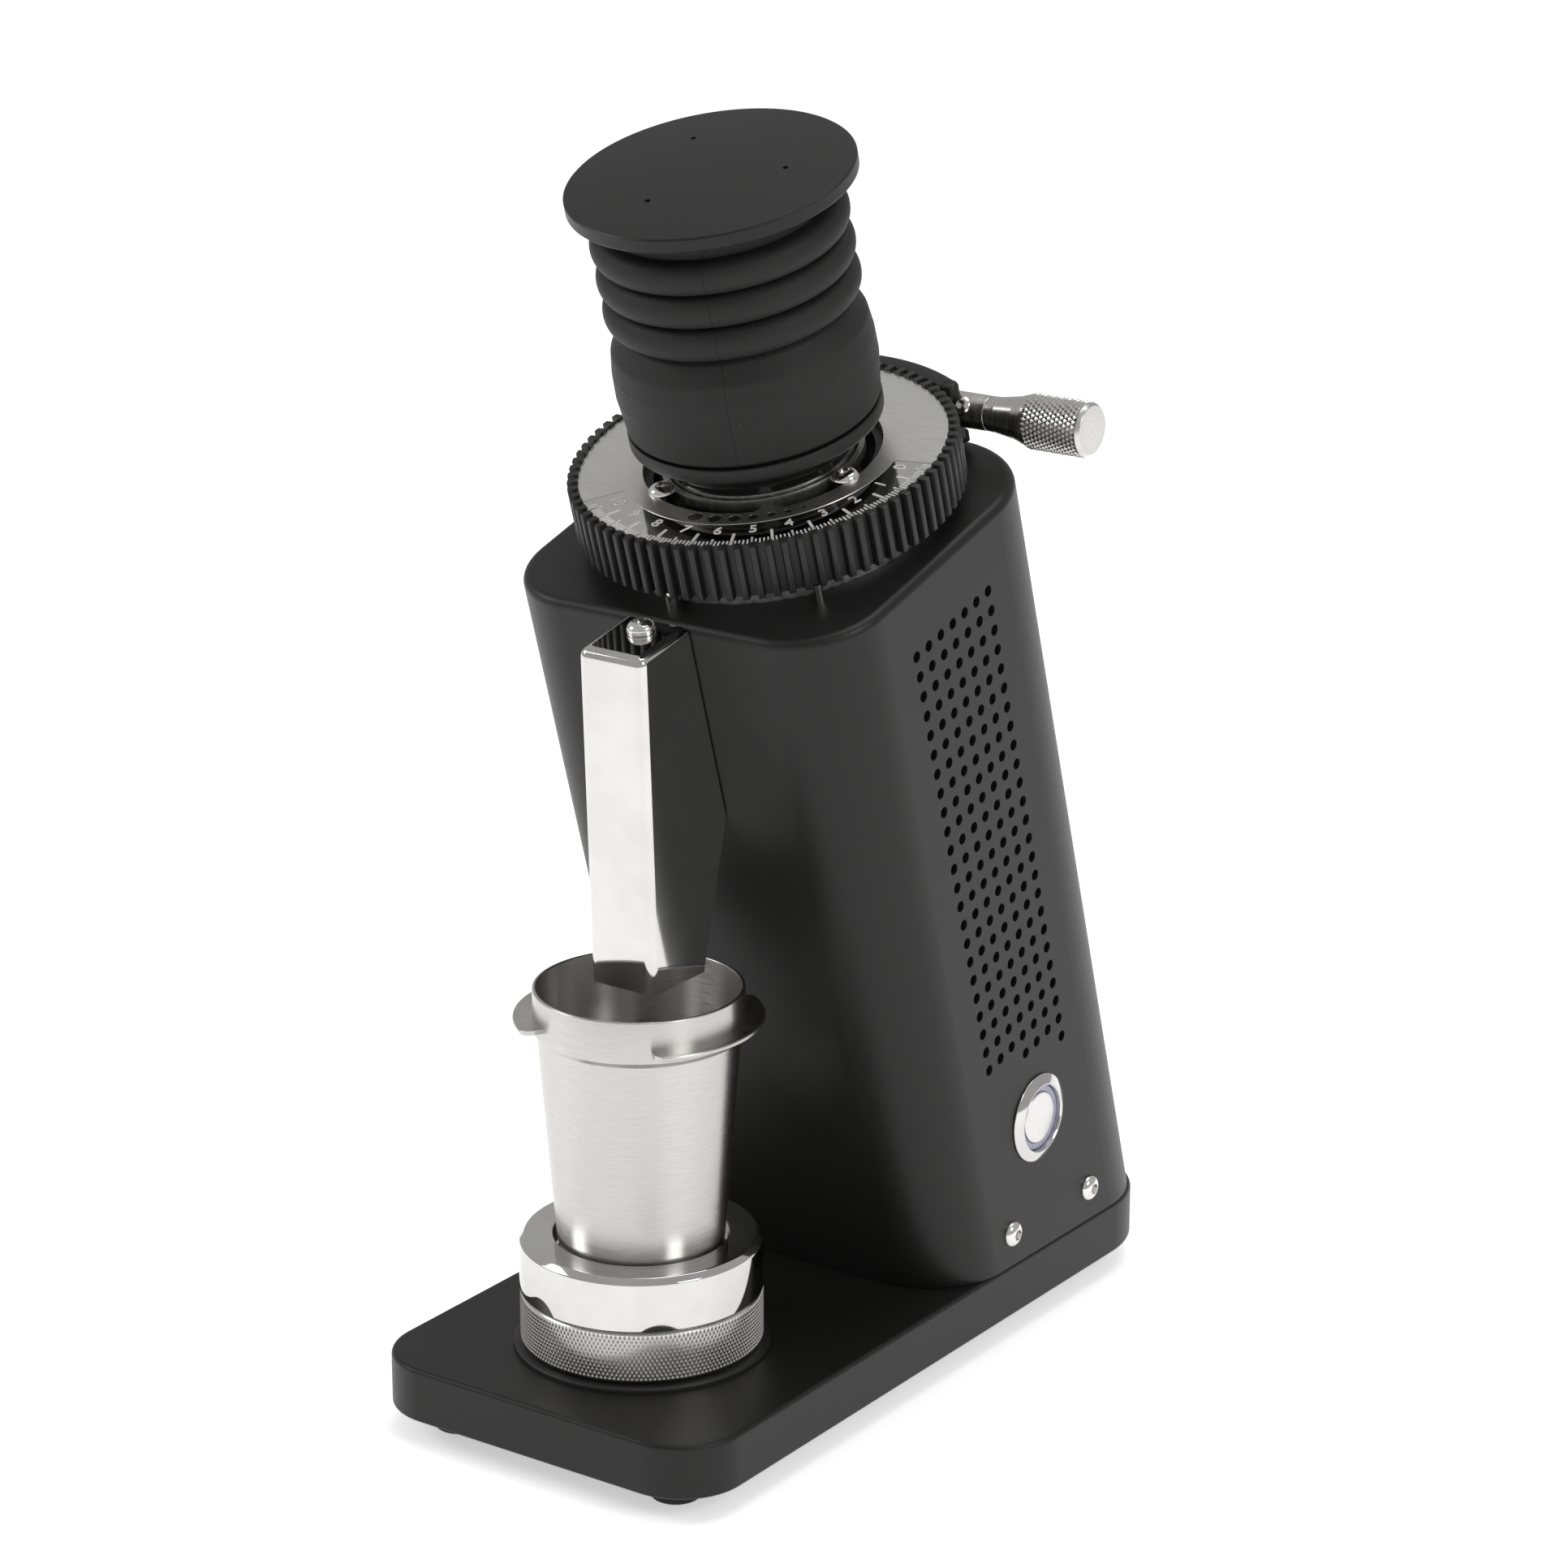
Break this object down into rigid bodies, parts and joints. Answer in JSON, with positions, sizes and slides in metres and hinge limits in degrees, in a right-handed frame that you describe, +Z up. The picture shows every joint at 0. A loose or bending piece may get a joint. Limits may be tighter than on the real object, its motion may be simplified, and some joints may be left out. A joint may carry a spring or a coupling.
{
  "type": "burr coffee grinder",
  "caption": "Leaning single-dose burr coffee grinder with a ribbed dial and lever, bellows hopper, polished chute, side push button and a screw-height stand with a dosing cup.",
  "frame": {"origin": "under the middle of the overall box, on the plane the rubber feet stand on", "axes": "+Z up; the cup and chute side faces -Y; the push button and the lever's grip face +X"},
  "size_m": [0.129, 0.2364, 0.3487],
  "materials": {
    "black_anodised": "satin black anodised and bead blasted aluminium",
    "black_polished": "polished black anodised aluminium",
    "black_polymer": "matt black moulded polymer",
    "rubber": "matt black silicone rubber with a moulded skin",
    "screw_steel": "bright stainless fasteners",
    "polished_steel": "mirror polished stainless steel",
    "brushed_steel": "fine turned and brushed stainless steel",
    "satin_disc": "fine sanded stainless steel with polished recesses",
    "cast_aluminium": "machined cast aluminium",
    "motor_steel": "pressed and laminated motor steel",
    "copper": "copper windings and brass spacers",
    "burr_steel": "hardened and coated burr steel",
    "light_ring": "translucent ring that lights up",
    "board_green": "glass fibre circuit board",
    "wire_red": "insulated hook-up wire"
  },
  "bodies": {
    "housing": {"base_plate": "black_anodised", "rubber_feet": "rubber", "foot_screws": "screw_steel", "stand_pad": "black_polymer", "stand_post": "brushed_steel", "body_shell": "black_anodised", "shell_brackets": "cast_aluminium", "shell_screws": "screw_steel", "bracket_screws": "screw_steel", "chamber_housing": "cast_aluminium", "chamber_screws": "screw_steel", "grounds_outlet": "black_polymer", "declumper_flap": "rubber", "chute": "polished_steel", "chute_hanger": "cast_aluminium", "chute_washer": "screw_steel", "chute_screw": "screw_steel", "motor_can": "motor_steel", "motor_end_cap": "cast_aluminium", "motor_stator": "copper", "motor_screws": "screw_steel", "spindle_bearings": "motor_steel", "shaft_seal": "rubber", "carrier_keys": "screw_steel", "control_board": "board_green", "board_spacers": "copper", "power_inlet": "black_polymer", "inlet_screws": "screw_steel", "wiring": "wire_red", "button_bezel": "polished_steel", "button_light_ring": "light_ring", "button_nut": "screw_steel", "button_spring": "screw_steel", "detent_plunger": "screw_steel", "stop_pins": "screw_steel"},
    "dial": {"adjusting_ring": "black_polymer", "dial_disc": "satin_disc", "dial_screws": "screw_steel", "lever_arm": "black_anodised", "lever_arm_screws": "screw_steel", "lever_socket": "brushed_steel", "lever_grip": "brushed_steel", "lever_grub_screw": "screw_steel"},
    "hopper": {"upper_carrier": "cast_aluminium", "upper_burr": "burr_steel", "upper_burr_screws": "screw_steel", "hopper_neck": "black_polished", "hopper_flange": "black_anodised", "bellows": "rubber"},
    "lid": {"bellows_lid": "black_anodised"},
    "spindle": {"motor_shaft": "brushed_steel", "motor_rotor": "motor_steel", "lower_carrier": "cast_aluminium", "lower_burr": "burr_steel", "lower_burr_screws": "screw_steel", "bean_auger": "brushed_steel"},
    "button": {"button_cap": "brushed_steel"},
    "stand_ring": {"knurled_ring": "brushed_steel"},
    "platform": {"cup_platform": "polished_steel"},
    "cup": {"dosing_cup": "brushed_steel"}
  },
  "joints": [
    {"name": "dial_turn", "type": "hinge", "parent": "housing", "child": "dial", "pos_m": [-0.0074, 0.06659, 0], "axis": [0, -0.284, 0.9588], "range_deg": [-96, 34.4]},
    {"name": "upper_burr_travel", "type": "slide", "parent": "housing", "child": "hopper", "axis": [0, -0.284, 0.9588], "range_m": [-0.00045, 0.0002]},
    {"name": "lid_press", "type": "slide", "parent": "hopper", "child": "lid", "axis": [0, -0.284, 0.9588], "range_m": [-0.025, 0], "stiffness_N_per_m": 300, "springref_m": 0.008, "deforming": ["bellows"]},
    {"name": "spindle_spin", "type": "hinge", "parent": "housing", "child": "spindle", "pos_m": [-0.0074, 0.06659, 0], "axis": [0, -0.284, 0.9588], "continuous": true},
    {"name": "button_press", "type": "slide", "parent": "housing", "child": "button", "axis": [-1, 0, 0], "range_m": [0, 0.0025], "stiffness_N_per_m": 400},
    {"name": "stand_ring_turn", "type": "hinge", "parent": "housing", "child": "stand_ring", "pos_m": [-0.0074, -0.0671, 0], "axis": [0, 0, 1], "range_deg": [0, 720]},
    {"name": "platform_rise", "type": "slide", "parent": "housing", "child": "platform", "axis": [0, 0, 1], "range_m": [0, 0.006]},
    {"name": "cup_lift", "type": "slide", "parent": "platform", "child": "cup", "axis": [0, 0, 1], "range_m": [0, 0.02]}
  ],
  "couplings": [
    {"joint": "upper_burr_travel", "follows": "dial_turn", "m_per_rad": 0.00023873},
    {"joint": "platform_rise", "follows": "stand_ring_turn", "m_per_rad": 0.0004774}
  ]
}
